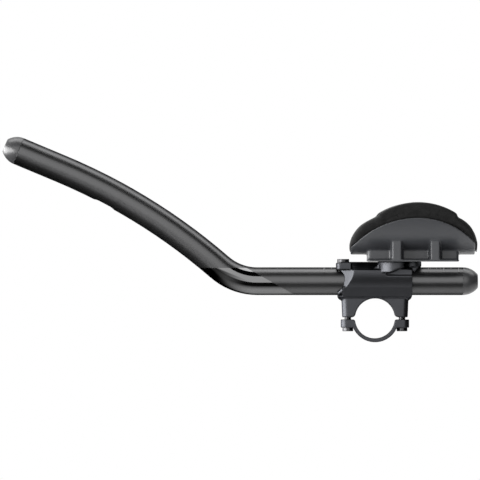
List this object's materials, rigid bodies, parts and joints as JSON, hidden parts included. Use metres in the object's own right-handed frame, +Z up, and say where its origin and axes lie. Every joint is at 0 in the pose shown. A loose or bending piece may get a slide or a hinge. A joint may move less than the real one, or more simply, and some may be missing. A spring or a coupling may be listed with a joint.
{
  "type": "aero handlebar extension",
  "caption": "S-bent tube extension held in a split clamp bracket that bolts round a handlebar, with a ribbed forearm cup and foam pad on top.",
  "frame": {"origin": "centre of the handlebar bore, in the middle of the clamp's width", "axes": "+Y along the handlebar, +X back to the rider, +Z up; the tube's nose points to -X"},
  "size_m": [0.3783, 0.0954, 0.1634],
  "materials": {
    "tube_finish": "satin black anodised",
    "plug_plastic": "semi-gloss black moulding",
    "bracket_finish": "bead-blasted dark grey anodised",
    "bolt_steel": "black oxide",
    "cup_plastic": "fine-textured dark grey moulding",
    "pad_fabric": "brushed black fabric over foam",
    "hook_fabric": "hook tape"
  },
  "bodies": {
    "bracket": {"clamp_bracket": "bracket_finish", "bar_clamp_cap": "bracket_finish", "bar_clamp_bolts": "bolt_steel", "pinch_bolt": "bolt_steel", "pinch_washer": "bolt_steel", "armrest_cup": "cup_plastic", "armrest_bolts": "bolt_steel", "armrest_washers": "bolt_steel", "armrest_pad": "pad_fabric", "hook_strips": "hook_fabric"},
    "extension": {"extension_tube": "tube_finish", "front_end_plug": "plug_plastic", "rear_end_plug": "plug_plastic"}
  },
  "joints": [
    {"name": "extension_slide", "type": "slide", "parent": "bracket", "child": "extension", "axis": [1, 0, 0], "range_m": [-0.035, 0.055]}
  ]
}
